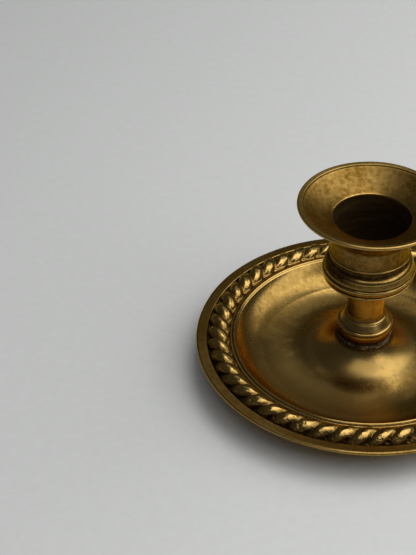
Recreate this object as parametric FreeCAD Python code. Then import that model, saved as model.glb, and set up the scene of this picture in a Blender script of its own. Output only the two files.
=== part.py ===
"""Brass chamber candlestick: a low drip pan with a rope border, a short stem and a flared cup.

Millimetres, +Z up. The origin is on the table, on the axis that every turned piece shares.
Each piece is one solid of revolution (the screws also have a slot) and gets a STEP file of its own.
"""
import FreeCAD, Part
import os

Vector = FreeCAD.Vector
AXIS = Vector(0, 0, 1)
ORIGIN = Vector(0, 0, 0)
SPLIT = 0.5 ** 0.5            # cosine and sine of 45 degrees, for quarter-round edges
TOUCHING = 1e-6               # two points closer than this are one

# ---- Drip pan ------------------------------------------------------------------------------------
PAN_R = 50.0                  # outside radius
RIM_TOP_Z = 10.4              # plain outer band, above the table
RIM_UNDER_Z = 9.3             # underside of the rim
RIM_EDGE_ROUND = 0.4          # rounding of the rim's upper and lower edges
RIM_SLOPE = (47.0, 8.5)       # where the underside of the rim turns level
RIM_ROOT = (40.4, 8.1)        # where that level part meets the well
BAND_TOP_Z = 10.8             # plain inner band, between the rope and the well
BEAD_R = 38.7                 # raised line round the well's mouth
BEAD_HALF = 0.45              # half its width
BEAD_RISE = 0.4               # its height above the inner band
WELL_MOUTH_R = 38.0           # where the well's wall starts down
WELL_WALL = (35.2, 8.0)       # point on the wall, radius and height
WELL_EDGE = (30.0, 5.75)      # where the wall meets the floor
WELL_FLOOR = (23.2, 4.6)      # lowest point of the floor
CONE_FOOT = (17.5, 5.55)      # where the floor starts up to the stem
CONE_WAIST = (11.0, 8.7)      # point on the trumpet that rises to the stem
BOSS_R = 8.2                  # top of the trumpet
BOSS_TOP_Z = 12.4             # flat seat under the stem
BOSS_LAND_Z = 8.0             # flat seat over the washer, inside the trumpet
BOSS_LAND_R = 7.4
UNDER_Z = 2.9                 # flat underside of the well, where the foot ring is soldered
UNDER_OUT_R = 32.4
UNDER_WALL = (37.4, 5.8)      # point on the outside of the well
UNDER_IN_R = 14.0
UNDER_CONE = (9.8, 4.5)       # point on the hollow inside the trumpet

# ---- Rope border ---------------------------------------------------------------------------------
ROPE_IN_R = 40.1
ROPE_OUT_R = 46.7
ROPE_SEAT_Z = 9.8             # floor of the channel it lies in
ROPE_TOP_Z = 12.8
CHANNEL_IN_R = 40.0
CHANNEL_OUT_R = 46.8

# ---- Foot ring -----------------------------------------------------------------------------------
FOOT_IN_R = 29.6
FOOT_OUT_R = 32.0
FOOT_CHAMFER = 0.4

# ---- Stem ----------------------------------------------------------------------------------------
STEM_FOOT_R = 7.5             # straight foot, where the solder holds it
STEM_FOOT_Z = 13.2
BAND_SWELL = (7.98, 14.5)     # widest point of the slightly barrelled foot band
BAND_TOP = (7.9, 16.3)
CREST_LOW = (8.25, 16.7)      # small overhang above the foot band
CREST_EDGE = (8.3, 17.0)
CREST_ROUND = (8.0, 17.42)    # point on the rounded crest
CREST_IN = (7.45, 17.6)
SKIRT_TOP = (6.3, 19.2)       # top of the steep skirt above the crest
COLLAR_GROOVE = (6.15, 19.35)
COLLAR_EDGE = (6.2, 19.6)     # fine collar round the foot of the neck
COLLAR_IN = (5.75, 19.9)
NECK_R = 5.5
NECK_FILLET = (5.56, 20.5)    # point on the fillet that runs into the neck
NECK_LOW_Z = 21.4
NECK_HIGH_Z = 30.6
NECK_SPREAD = (6.35, 32.5)    # point on the curve from neck to head
STEM_HEAD_R = 8.6
STEM_TOP_Z = 34.0
HEAD_EDGE = 0.5               # height of the head's straight edge
LOW_TAP_R = 2.15              # hole for the base screw
LOW_TAP_Z = 21.0
HIGH_TAP_R = 1.75             # hole for the cup screw
HIGH_TAP_Z = 26.0

# ---- Solder fillet at the stem's foot ------------------------------------------------------------
SOLDER_WIDTH = 0.65
SOLDER_HEIGHT = 0.45
SOLDER_HOLLOW = 0.38          # how far up and out the hollow face passes the corner, as a share of both

# ---- Seat disc between stem and cup --------------------------------------------------------------
DISC_R = 13.0
DISC_THICK = 0.75
DISC_HOLE_R = 1.9
DISC_EDGE_ROUND = 0.25

# ---- Candle cup ----------------------------------------------------------------------------------
CUP_FLOOR_Z = 38.0            # bottom of the bore
BORE_R = 10.6
BORE_TOP_Z = 50.0             # where the plain bore ends and widens to the mouth
MOUTH_R = 11.2                # sharp mouth of the bore, at the bottom of the flare
MOUTH_Z = 54.3
FLARE_MID = (15.2, 56.1)      # point on the flare's slightly dished face
FLARE_TOP = (19.4, 58.45)
LIP_GROOVE = (19.6, 58.45)    # fine turned groove inside the lip
LIP_IN = (19.75, 58.85)
LIP_TOP_R = 20.9              # flat band on the lip
LIP_R = 21.35
LIP_TOP_Z = 59.0
LIP_UNDER_Z = 57.75
LIP_UNDER_R = 20.7
FLARE_UNDER = (13.9, 53.4)    # point on the trumpet under the flare
CUP_R = 11.45                 # foot of the slightly tapered cylinder
CYLINDER_TOP = (11.8, 49.2)
RING_Z = 42.85                # fine half-round ring low on the cylinder
RING_HALF = 0.3
NECKING = 0.2                 # depth of the hollow between ring and shoulder
SHOULDER_Z = 40.7             # where the shoulder starts below the cylinder
SHOULDER_ROUND = (12.25, 40.2)
SHOULDER_STEP = (12.75, 39.3)
SHOULDER_STEPS = 3            # fine steps turned in the shoulder
STEP_SLOPE = 0.8              # share of each step's drop before its ledge
SHOULDER_END = (13.05, 37.8)  # sharp line above the flange
FLANGE_GROOVE = (12.9, 37.2)
FLANGE_ROUND = (13.3, 36.95)  # point on the flange's rounded edge
FLANGE_SIDE = (13.45, 36.3)
FLANGE_LOW = (13.3, 35.6)
SEAT_EDGE_R = 12.4            # outside of the cup's seat on the disc
CUP_SCREW_HOLE_R = 1.9
RECESS_R = 3.7                # recess in the cup's floor that hides the screw's head
RECESS_Z = 36.3

# ---- Screws and washer ---------------------------------------------------------------------------
CUP_SCREW_R = 1.7
CUP_SCREW_HEAD_R = 3.4
CUP_SCREW_HEAD_H = 1.5
CUP_SCREW_LENGTH = 9.4
BASE_SCREW_R = 2.1
BASE_SCREW_HEAD_R = 4.0
BASE_SCREW_HEAD_H = 2.6
BASE_SCREW_LENGTH = 12.6
BASE_HOLE_R = 2.25            # hole through the pan's boss
WASHER_R = 6.0
WASHER_THICK = 0.8
SLOT_WIDTH = 0.9
SLOT_DEPTH = 0.8
SLOT_SPARE = 1.0              # how far the slot's cutter stands out past the head


def turned(start, *steps):
    """Turn a closed outline round Z. A step of two numbers is a straight line to (radius, height);
    a step of four is an arc through the first pair to the second. The last point joins the first."""
    here = Vector(start[0], 0, start[1])
    first = here
    edges = []
    for step in steps:
        there = Vector(step[-2], 0, step[-1])
        if len(step) == 4:
            through = Vector(step[0], 0, step[1])
            edges.append(Part.Arc(here, through, there).toShape())
        else:
            edges.append(Part.LineSegment(here, there).toShape())
        here = there
    if not here.isEqual(first, TOUCHING):
        edges.append(Part.LineSegment(here, first).toShape())
    return Part.Face(Part.Wire(edges)).revolve(ORIGIN, AXIS, 360)


def quarter(centre_r, centre_z, radius, out, up):
    """Middle point of a quarter-round edge; out and up are +1 or -1, the way the edge faces."""
    return centre_r + out * radius * SPLIT, centre_z + up * radius * SPLIT


def make_drip_pan():
    """Dished pan: boss, trumpet, floor, wall, bead, channel for the rope, rim, then the underside."""
    rim_in_r = PAN_R - RIM_EDGE_ROUND
    top_round = quarter(rim_in_r, RIM_TOP_Z - RIM_EDGE_ROUND, RIM_EDGE_ROUND, 1, 1)
    low_round = quarter(rim_in_r, RIM_UNDER_Z + RIM_EDGE_ROUND, RIM_EDGE_ROUND, 1, -1)
    return turned(
        (BASE_HOLE_R, BOSS_LAND_Z),
        (BASE_HOLE_R, BOSS_TOP_Z),
        (BOSS_R, BOSS_TOP_Z),
        (*CONE_WAIST, *CONE_FOOT),
        (*WELL_FLOOR, *WELL_EDGE),
        (*WELL_WALL, WELL_MOUTH_R, BAND_TOP_Z),
        (BEAD_R - BEAD_HALF, BAND_TOP_Z),
        (BEAD_R, BAND_TOP_Z + BEAD_RISE, BEAD_R + BEAD_HALF, BAND_TOP_Z),
        (CHANNEL_IN_R, BAND_TOP_Z),
        (CHANNEL_IN_R, ROPE_SEAT_Z),
        (CHANNEL_OUT_R, ROPE_SEAT_Z),
        (CHANNEL_OUT_R, RIM_TOP_Z),
        (rim_in_r, RIM_TOP_Z),
        (*top_round, PAN_R, RIM_TOP_Z - RIM_EDGE_ROUND),
        (PAN_R, RIM_UNDER_Z + RIM_EDGE_ROUND),
        (*low_round, rim_in_r, RIM_UNDER_Z),
        RIM_SLOPE,
        RIM_ROOT,
        (*UNDER_WALL, UNDER_OUT_R, UNDER_Z),
        (UNDER_IN_R, UNDER_Z),
        (*UNDER_CONE, BOSS_LAND_R, BOSS_LAND_Z),
    )


def make_rope_border():
    """Ring with a half-round top, the outside form of the twisted rope moulding."""
    middle_r = (ROPE_IN_R + ROPE_OUT_R) / 2
    return turned(
        (ROPE_IN_R, ROPE_SEAT_Z),
        (ROPE_OUT_R, ROPE_SEAT_Z),
        (middle_r, ROPE_TOP_Z, ROPE_IN_R, ROPE_SEAT_Z),
    )


def make_foot_ring():
    """Plain ring with chamfered lower edges, flush against the flat underside of the pan."""
    return turned(
        (FOOT_IN_R, UNDER_Z),
        (FOOT_IN_R, FOOT_CHAMFER),
        (FOOT_IN_R + FOOT_CHAMFER, 0.0),
        (FOOT_OUT_R - FOOT_CHAMFER, 0.0),
        (FOOT_OUT_R, FOOT_CHAMFER),
        (FOOT_OUT_R, UNDER_Z),
    )


def make_stem():
    """Turned stem: foot band, crest, skirt, collar, neck and spreading head, drilled at both ends."""
    return turned(
        (LOW_TAP_R, BOSS_TOP_Z),
        (STEM_FOOT_R, BOSS_TOP_Z),
        (STEM_FOOT_R, STEM_FOOT_Z),
        (*BAND_SWELL, *BAND_TOP),
        CREST_LOW,
        CREST_EDGE,
        (*CREST_ROUND, *CREST_IN),
        SKIRT_TOP,
        COLLAR_GROOVE,
        COLLAR_EDGE,
        COLLAR_IN,
        (*NECK_FILLET, NECK_R, NECK_LOW_Z),
        (NECK_R, NECK_HIGH_Z),
        (*NECK_SPREAD, STEM_HEAD_R, STEM_TOP_Z - HEAD_EDGE),
        (STEM_HEAD_R, STEM_TOP_Z),
        (HIGH_TAP_R, STEM_TOP_Z),
        (HIGH_TAP_R, HIGH_TAP_Z),
        (0.0, HIGH_TAP_Z),
        (0.0, LOW_TAP_Z),
        (LOW_TAP_R, LOW_TAP_Z),
    )


def make_solder_fillet():
    """Small hollow fillet of solder in the corner between the stem's foot and the pan's boss."""
    inner = STEM_FOOT_R
    middle_r = inner + SOLDER_HOLLOW * SOLDER_WIDTH
    middle_z = BOSS_TOP_Z + SOLDER_HOLLOW * SOLDER_HEIGHT
    return turned(
        (inner, BOSS_TOP_Z),
        (inner + SOLDER_WIDTH, BOSS_TOP_Z),
        (middle_r, middle_z, inner, BOSS_TOP_Z + SOLDER_HEIGHT),
    )


def make_seat_disc():
    """Thin disc clamped between the stem's head and the cup."""
    low = STEM_TOP_Z
    high = STEM_TOP_Z + DISC_THICK
    edge_r = DISC_R - DISC_EDGE_ROUND
    return turned(
        (DISC_HOLE_R, low),
        (edge_r, low),
        (DISC_R, (low + high) / 2, edge_r, high),
        (DISC_HOLE_R, high),
    )


def shoulder_steps():
    """Fine steps from the shoulder to the sharp line above the flange, each a slope and a small ledge."""
    top_r, top_z = SHOULDER_STEP
    end_r, end_z = SHOULDER_END
    rise_r = (end_r - top_r) / SHOULDER_STEPS
    drop_z = (top_z - end_z) / SHOULDER_STEPS
    points = []
    for index in range(SHOULDER_STEPS):
        points.append((top_r + index * rise_r, top_z - (index + STEP_SLOPE) * drop_z))
        points.append((top_r + (index + 1) * rise_r, top_z - (index + 1) * drop_z))
    return points


def make_candle_cup():
    """Cup: bore and flare, lip, trumpet, cylinder with a ring, stepped shoulder and flange."""
    seat_z = STEM_TOP_Z + DISC_THICK
    lip_mid_z = (LIP_TOP_Z + LIP_UNDER_Z) / 2
    return turned(
        (CUP_SCREW_HOLE_R, seat_z),
        (CUP_SCREW_HOLE_R, RECESS_Z),
        (RECESS_R, RECESS_Z),
        (RECESS_R, CUP_FLOOR_Z),
        (BORE_R, CUP_FLOOR_Z),
        (BORE_R, BORE_TOP_Z),
        (MOUTH_R, MOUTH_Z),
        (*FLARE_MID, *FLARE_TOP),
        LIP_GROOVE,
        LIP_IN,
        (LIP_TOP_R, LIP_TOP_Z),
        (LIP_R, lip_mid_z, LIP_TOP_R, LIP_UNDER_Z),
        (LIP_UNDER_R, LIP_UNDER_Z),
        (*FLARE_UNDER, *CYLINDER_TOP),
        (CUP_R, RING_Z + RING_HALF),
        (CUP_R + RING_HALF, RING_Z, CUP_R, RING_Z - RING_HALF),
        (CUP_R - NECKING, (RING_Z - RING_HALF + SHOULDER_Z) / 2, CUP_R, SHOULDER_Z),
        (*SHOULDER_ROUND, *SHOULDER_STEP),
        *shoulder_steps(),
        FLANGE_GROOVE,
        (*FLANGE_ROUND, *FLANGE_SIDE),
        FLANGE_LOW,
        (SEAT_EDGE_R, seat_z),
    )


def make_screw(shank_r, head_r, head_h, length, seat_z, head_up):
    """Slotted cheese-head screw on the axis; seat_z is the face under its head, head_up its way."""
    way = 1 if head_up else -1
    head = Part.makeCylinder(head_r, head_h, Vector(0, 0, seat_z), Vector(0, 0, way))
    shank = Part.makeCylinder(shank_r, length, Vector(0, 0, seat_z), Vector(0, 0, -way))
    slot = Part.makeBox(2 * head_r + 2 * SLOT_SPARE, SLOT_WIDTH, SLOT_DEPTH + SLOT_SPARE)
    slot_low = head_h - SLOT_DEPTH if head_up else -head_h - SLOT_SPARE
    slot.translate(Vector(-head_r - SLOT_SPARE, -SLOT_WIDTH / 2, seat_z + slot_low))
    return head.fuse(shank).cut(slot).removeSplitter().Solids[0]


def make_cup_screw():
    """Screw in the recess of the cup's floor, through the seat disc into the stem's head."""
    return make_screw(CUP_SCREW_R, CUP_SCREW_HEAD_R, CUP_SCREW_HEAD_H, CUP_SCREW_LENGTH, RECESS_Z, True)


def make_base_washer():
    """Flat washer inside the trumpet, against the underside of the boss."""
    low = BOSS_LAND_Z - WASHER_THICK
    return turned((BASE_HOLE_R, low), (WASHER_R, low), (WASHER_R, BOSS_LAND_Z), (BASE_HOLE_R, BOSS_LAND_Z))


def make_base_screw():
    """Screw from below through the washer and the boss into the stem's foot."""
    seat_z = BOSS_LAND_Z - WASHER_THICK
    return make_screw(BASE_SCREW_R, BASE_SCREW_HEAD_R, BASE_SCREW_HEAD_H, BASE_SCREW_LENGTH, seat_z, False)


PIECES = {
    "drip_pan": make_drip_pan,
    "rope_border": make_rope_border,
    "foot_ring": make_foot_ring,
    "stem": make_stem,
    "solder_fillet": make_solder_fillet,
    "seat_disc": make_seat_disc,
    "candle_cup": make_candle_cup,
    "cup_screw": make_cup_screw,
    "base_washer": make_base_washer,
    "base_screw": make_base_screw,
}

os.makedirs("parts", exist_ok=True)
for name, make in PIECES.items():
    shape = make()
    shape.exportStep("parts/" + name + ".step")
    print(name, shape.ShapeType, shape.isValid(), round(shape.Volume, 1), shape.BoundBox)
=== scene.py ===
"""Brass chamber candlestick: the visible pieces, their aged brass and a plain studio stage.

Every turned piece is an outline carried round the upright axis. The rope border is a twisted two-strand rope
carried round the pan. Lengths are metres. Radii are measured from the axis and heights from the table.
"""
import math

import bpy
import numpy as np
from bpy.props import FloatProperty, FloatVectorProperty, IntProperty, PointerProperty
from bpy.types import Operator, Panel, PropertyGroup
from mathutils import Matrix, Vector


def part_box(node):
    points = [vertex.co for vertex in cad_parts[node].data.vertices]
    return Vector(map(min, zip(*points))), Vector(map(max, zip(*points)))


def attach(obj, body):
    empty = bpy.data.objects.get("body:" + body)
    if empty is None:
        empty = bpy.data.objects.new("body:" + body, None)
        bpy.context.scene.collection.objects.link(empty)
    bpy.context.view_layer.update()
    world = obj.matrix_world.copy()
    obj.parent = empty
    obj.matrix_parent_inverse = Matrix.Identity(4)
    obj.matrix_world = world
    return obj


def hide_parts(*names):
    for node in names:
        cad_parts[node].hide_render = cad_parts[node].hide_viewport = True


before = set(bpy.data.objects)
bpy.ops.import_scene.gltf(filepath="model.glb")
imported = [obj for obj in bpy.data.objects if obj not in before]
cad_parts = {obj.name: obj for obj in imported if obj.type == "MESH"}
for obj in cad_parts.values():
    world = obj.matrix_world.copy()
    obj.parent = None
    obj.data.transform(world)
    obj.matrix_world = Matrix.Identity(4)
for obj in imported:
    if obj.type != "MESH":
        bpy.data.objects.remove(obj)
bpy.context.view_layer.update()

bl_info = {
    "name": "Brass Chamber Candlestick",
    "version": (1, 0, 0),
    "blender": (4, 5, 0),
    "location": "View3D > Sidebar > Candlestick",
    "description": "Builds an aged brass chamber candlestick with a rope border on a studio stage",
    "category": "Add Mesh",
}

BODY = "root"
FULL_TURN = 2 * math.pi


def top_of(node):
    """Greatest height of a CAD node."""
    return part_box(node)[1].z


def foot_of(node):
    """Least height of a CAD node."""
    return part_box(node)[0].z


def radius_of(node):
    """Greatest radius of a CAD node that is turned round the upright axis."""
    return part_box(node)[1].x


# ---- Sizes and colours -------------------------------------------

def length(label, about, metres):
    """A size in metres, shown in the scene's own unit."""
    return FloatProperty(name=label, description=about, default=metres, unit="LENGTH", subtype="DISTANCE",
                         precision=5)


def share(label, about, value):
    """A number from 0 to 1."""
    return FloatProperty(name=label, description=about, default=value, min=0.0, max=1.0, subtype="FACTOR")


def colour(label, about, value):
    """A scene-linear colour."""
    return FloatVectorProperty(name=label, description=about, default=value, size=3, min=0.0, max=1.0,
                               subtype="COLOR")


def turn_angle(label, about, degrees):
    """An angle, given in degrees."""
    return FloatProperty(name=label, description=about, default=math.radians(degrees), subtype="ANGLE")


# Points of the outlines that no other size depends on: radius and height.
RIM_SLOPE = (0.0470, 0.0085)
RIM_ROOT = (0.0404, 0.0081)
UNDER_WALL = (0.0374, 0.0058)
UNDER_CONE = (0.0098, 0.0045)
CREST_ROUND = (0.0080, 0.01742)
BAND_SWELL = (0.00798, 0.0145)
LIP_HOLLOW = (0.0139, 0.0534)
SHOULDER_ROUND = (0.01225, 0.0402)
SHOULDER_STEP = (0.01275, 0.0393)
SHOULDER_END = (0.01305, 0.0378)
FLANGE_GROOVE = (0.0129, 0.0372)
FLANGE_ROUND = (0.0133, 0.03695)
FLANGE_SIDE = (0.01345, 0.0363)
FLANGE_LOW = (0.0133, 0.0356)
FLANGE_FOOT_RADIUS = 0.0124
BORE_TOP = 0.0500             # where the plain bore ends and widens to the mouth
UNDER_FLAT_RADIUS = 0.014     # inside of the flat underside of the well
BOSS_UNDER_RADIUS = 0.0074    # edge of the seat above the washer
SCREW_HOLE_RADIUS = 0.0019    # hole for the cup's screw, through cup and disc
RECESS_RADIUS = 0.0037        # recess for that screw's head
RECESS_FLOOR = 0.0363

# Where the pan's finish changes: radii at which each change starts and ends.
EASED = (0.0145, 0.0215)      # the cone runs softly into the well's floor between these
EASE_REACH = 0.0010
BOSS_EDGE = (0.0086, 0.0094)
SOLDER_DIRT = (0.0084, 0.0092)
BRIGHT_CONE_END = (0.0150, 0.0185)
# Radii between which the well's front left gets its painted sheen.
SHEEN_PATCH_START = (0.0170, 0.0215)
SHEEN_PATCH_END = (0.0320, 0.0360)
# The next heights are where the painted shade on the cup's shoulder ends.
LEDGE_SHADE_TOP = (0.0398, 0.0408)    # heights, on the cup's shoulder


class PanSizes(PropertyGroup):
    """Sizes of the drip pan and its foot ring."""
    radius: length("Radius", "Outside radius of the pan", radius_of("drip_pan"))
    rim_top: length("Rim Top", "Height of the plain outer band", 0.0104)
    rim_under: length("Rim Underside", "Height of the underside of the rim", 0.0093)
    rim_round: length("Rim Rounding", "Rounding of the rim's edges", 0.0004)
    band_top: length("Inner Band Top", "Height of the band between rope and well", 0.0108)
    bead_radius: length("Bead Radius", "Radius of the raised line round the well", 0.0387)
    bead_half: length("Bead Half Width", "Half the width of the raised line", 0.00045)
    bead_rise: length("Bead Rise", "Height of the raised line above its band", 0.0004)
    mouth_radius: length("Well Mouth", "Radius where the well's wall starts down", 0.0380)
    wall_radius: length("Wall Radius", "Radius of a point half way up the wall", 0.0352)
    wall_height: length("Wall Height", "Height of that point", 0.0080)
    edge_radius: length("Floor Edge", "Radius where the floor turns up into the wall", 0.0300)
    edge_height: length("Floor Edge Height", "Height there", 0.00575)
    floor_radius: length("Floor Radius", "Radius of the lowest ring of the floor", 0.0232)
    floor_height: length("Floor Height", "Height there", 0.0046)
    cone_radius: length("Cone Foot", "Radius where the floor starts up to the stem", 0.0175)
    cone_height: length("Cone Foot Height", "Height there", 0.00555)
    waist_radius: length("Cone Waist", "Radius of a point on the rising cone", 0.0110)
    waist_height: length("Cone Waist Height", "Height there", 0.0087)
    seat_radius: length("Stem Seat", "Radius of the flat seat under the stem", 0.0082)
    seat_top: length("Stem Seat Height", "Height of that seat", foot_of("stem"))
    under: length("Underside", "Height of the flat underside of the well", top_of("foot_ring"))
    screw_hole: length("Screw Hole", "Radius of the hole through the boss", 0.00225)
    washer_seat: length("Washer Seat", "Height of the seat above the washer", top_of("base_washer"))
    foot_radius: length("Foot Ring", "Outside radius of the foot ring", radius_of("foot_ring"))
    foot_width: length("Foot Ring Width", "Width of the foot ring", 0.0024)
    unevenness: length("Unevenness", "How far the hand-finished well wanders from a true turning", 0.00005)


class RopeSizes(PropertyGroup):
    """Sizes of the rope border."""
    inner_radius: length("Inner Radius", "Inside of the rope", 0.0401)
    outer_radius: length("Outer Radius", "Outside of the rope", radius_of("rope_border"))
    seat: length("Seat Height", "Floor of the channel it lies in", foot_of("rope_border"))
    crest: length("Crest Height", "Top of the strands", top_of("rope_border"))
    band: length("Band Height", "Height of the plain band that the strands run out into", 0.0108)
    strands: IntProperty(name="Strands", description="Strand crests round the pan", default=50, min=8)
    start: turn_angle("Start Angle", "Angle of one crest on the rope's middle line", 287.5)
    fullness: share("Fullness", "How much of the rope's height is left in the grooves", 0.66)
    squareness: share("Squareness", "Power that shapes a strand: less gives narrower grooves", 0.7)
    roughness: length("Casting Roughness", "Height of the cast skin's bumps", 0.00005)


class StemSizes(PropertyGroup):
    """Sizes of the stem and the solder at its foot."""
    foot_radius: length("Foot Radius", "Radius of the straight foot", 0.0075)
    foot_top: length("Foot Top", "Height of the straight foot's top", 0.0132)
    band_radius: length("Band Radius", "Radius at the top of the barrelled foot band", 0.0079)
    band_top: length("Band Top", "Top of the foot band", 0.0163)
    crest_radius: length("Crest Radius", "Edge of the rounded crest above the band", 0.0083)
    crest_height: length("Crest Height", "Height of that edge", 0.0170)
    ledge_radius: length("Ledge Radius", "Inside of the crest's rounded top", 0.00745)
    ledge_height: length("Ledge Height", "Height there", 0.0176)
    skirt_radius: length("Skirt Radius", "Top of the steep skirt above the crest", 0.0063)
    skirt_height: length("Skirt Height", "Height there", 0.0192)
    collar_radius: length("Collar Radius", "Fine collar round the foot of the neck", 0.0062)
    collar_height: length("Collar Height", "Height of the collar", 0.0196)
    neck_radius: length("Neck Radius", "Radius of the slender neck", 0.0055)
    neck_low: length("Neck Low End", "Where the plain neck starts", 0.0214)
    neck_high: length("Neck High End", "Where the plain neck ends", 0.0306)
    head_radius: length("Head Radius", "Radius of the spreading head", radius_of("stem"))
    solder_width: length("Solder Width", "Width of the solder line", 0.0007)
    solder_height: length("Solder Height", "Height of the solder line", 0.00045)


class CupSizes(PropertyGroup):
    """Sizes of the candle cup and the disc under it."""
    lip_radius: length("Lip Radius", "Outside of the lip", radius_of("candle_cup"))
    lip_top: length("Lip Top", "Height of the lip", top_of("candle_cup"))
    lip_thickness: length("Lip Thickness", "Height of the lip's edge", 0.00125)
    flare_top: length("Flare Top", "Radius where the flare meets the lip's band", 0.0194)
    flare_mid_radius: length("Flare Middle", "Radius of a point on the flare", 0.0152)
    flare_mid_height: length("Flare Middle Height", "Height of that point", 0.0561)
    mouth_radius: length("Mouth Radius", "Mouth of the bore", 0.0112)
    mouth_height: length("Mouth Height", "Height of the mouth", 0.0543)
    bore_radius: length("Bore Radius", "Radius of the bore", 0.0106)
    bore_floor: length("Bore Floor", "Height of the bore's floor", 0.0380)
    cylinder_radius: length("Cylinder Radius", "Foot of the slightly tapered cylinder", 0.01145)
    cylinder_top_radius: length("Cylinder Top Radius", "Its radius at the top", 0.0118)
    cylinder_top: length("Cylinder Top", "Where the trumpet under the flare starts", 0.0492)
    ring_height: length("Ring Height", "Height of the fine ring on the cylinder", 0.04285)
    ring_half: length("Ring Half Width", "Half the width of that ring", 0.0003)
    shoulder_top: length("Shoulder Top", "Where the shoulder starts", 0.0407)
    seat: length("Seat Height", "Height of the cup's seat on the disc", foot_of("candle_cup"))
    disc_radius: length("Disc Radius", "Radius of the disc under the cup", radius_of("seat_disc"))


class BrassColours(PropertyGroup):
    """Colours of the metal and of what has gathered on it."""
    # clean is also the colour of the painted sheen on the well's front left.
    clean: colour("Clean Brass", "Rubbed and polished metal", (0.42, 0.27, 0.08))
    brown: colour("Brown Tarnish", "Metal under a thin brown tarnish", (0.21, 0.116, 0.022))
    film: colour("Cup Tarnish", "Heavier tarnish on the candle cup", (0.13, 0.068, 0.010))
    # dark also paints the shade on the left of the cup's shoulder ledges.
    dark: colour("Dark Patina", "Old polish and dirt in the corners", (0.022, 0.011, 0.0035))
    glance: colour("Glancing Tint", "Tint of the metal seen at a low angle", (1.0, 0.72, 0.38))
    soot: colour("Soot", "Burnt wax and soot inside the bore", (0.010, 0.0045, 0.0015))
    solder: colour("Solder", "Tarnished solder", (0.075, 0.055, 0.035))
    steel: colour("Steel", "Dull steel", (0.30, 0.29, 0.27))
    rust: colour("Rust", "Rust on the steel", (0.16, 0.07, 0.025))


class StageSettings(PropertyGroup):
    """Camera, lights and floor."""
    camera_distance: length("Camera Distance", "Level distance from the axis to the camera", 0.3559)
    camera_height: length("Camera Height", "Height of the camera above the table", 0.3077)
    camera_pan: turn_angle("Pan", "Turn of the view, to the right", -7.49)
    camera_tilt: turn_angle("Tilt", "Downward tilt of the view", 37.90)
    camera_roll: turn_angle("Roll", "Roll of the view", -0.41)
    lens: FloatProperty(name="Lens", description="Focal length on a 36 mm sensor", default=100.0,
                        subtype="DISTANCE_CAMERA")
    floor_size: length("Floor Size", "Side of the floor", 3.0)
    floor_colour: colour("Floor Colour", "Pale floor", (0.79, 0.80, 0.785))
    panel_height: length("Light Height", "Height of the soft light panels above the floor", 0.70)
    brightness: FloatProperty(name="Brightness", description="Scales every light panel", default=1.06)
    sky: colour("Room Light", "Colour of the even room light", (0.80, 0.83, 0.85))
    sky_strength: share("Room Strength", "Strength of the even room light", 0.08)


class CandlestickSettings(PropertyGroup):
    """Everything that can be changed before building."""
    pan: PointerProperty(type=PanSizes, name="Pan", description="Sizes of the drip pan")
    rope: PointerProperty(type=RopeSizes, name="Rope", description="Sizes of the rope border")
    stem: PointerProperty(type=StemSizes, name="Stem", description="Sizes of the stem")
    cup: PointerProperty(type=CupSizes, name="Cup", description="Sizes of the candle cup")
    colours: PointerProperty(type=BrassColours, name="Colours", description="Colours of the metals")
    stage: PointerProperty(type=StageSettings, name="Stage", description="Camera, lights and floor")


# ---- Outlines ----------------------------------------------------

def smooth_step(values, low, high):
    """Rises from 0 at low to 1 at high with level ends: three squares less two cubes."""
    share_of = np.clip((values - low) / (high - low), 0, 1)
    return share_of ** 2 * (3 - 2 * share_of)


def arc(start, through, end, gap):
    """Points on the circle through three points, from start to end without start itself, about gap apart.

    The centre is where the two chords' upright bisectors cross. The angle then runs evenly from start to end,
    the way that passes the middle point."""
    first, middle, last = (np.array(p, float) for p in (start, through, end))
    chords = np.array([middle - first, last - first])
    centre = np.linalg.solve(chords, 0.5 * (chords * (chords + 2 * first)).sum(axis=1))
    spokes = np.array([first, middle, last]) - centre
    angles = np.unwrap(np.arctan2(spokes[:, 1], spokes[:, 0]))
    radius = np.hypot(*spokes[0])
    count = max(2, math.ceil(abs(angles[2] - angles[0]) * radius / gap))
    turn_to = angles[0] + (angles[2] - angles[0]) * np.arange(1, count + 1) / count
    return centre + radius * np.stack([np.cos(turn_to), np.sin(turn_to)], axis=1)


def straight(start, end, gap):
    """Points on a straight line, from start to end without start itself, about gap apart."""
    first, last = np.array(start, float), np.array(end, float)
    count = max(1, math.ceil(np.hypot(*(last - first)) / gap))
    return first + (last - first) * (np.arange(1, count + 1) / count)[:, None]


def outline(start, *steps, gap):
    """Points along an outline of (radius, height). A step of two numbers is a straight line to that point,
    and a step of four is an arc through the first pair to the second."""
    here = start
    runs = [np.array([start], float)]
    for step in steps:
        there = step[-2:]
        runs.append(straight(here, there, gap) if len(step) == 2 else arc(here, step[:2], there, gap))
        here = there
    return np.concatenate(runs)


def ease(points, inner, outer, reach):
    """Outline with its corners rounded between two radii: each height there becomes the average of those
    around it, weighted by a bell curve of width reach, and fades back to the outline over two reaches."""
    radius, height = points.T
    held = (radius > inner - 3 * reach) & (radius < outer + 3 * reach)
    weight = np.exp(-0.5 * ((radius[:, None] - radius[None, held]) / reach) ** 2)
    average = (weight @ height[held]) / np.maximum(weight.sum(axis=1), 1e-12)
    fade = 2 * reach
    inside = smooth_step(radius, inner, inner + fade) * (1 - smooth_step(radius, outer - fade, outer))
    return np.stack([radius, height + inside * (average - height)], axis=1)


def outline_normals(points, closed):
    """Unit vectors square to the outline: the tangent is the difference of the points on both sides, and the
    normal is that tangent turned a quarter to the left."""
    if closed:
        tangent = np.roll(points, -1, axis=0) - np.roll(points, 1, axis=0)
    else:
        tangent = np.gradient(points, axis=0)
    normal = np.stack([-tangent[:, 1], tangent[:, 0]], axis=1)
    return normal / np.maximum(np.hypot(normal[:, 0], normal[:, 1]), 1e-12)[:, None]


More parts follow.
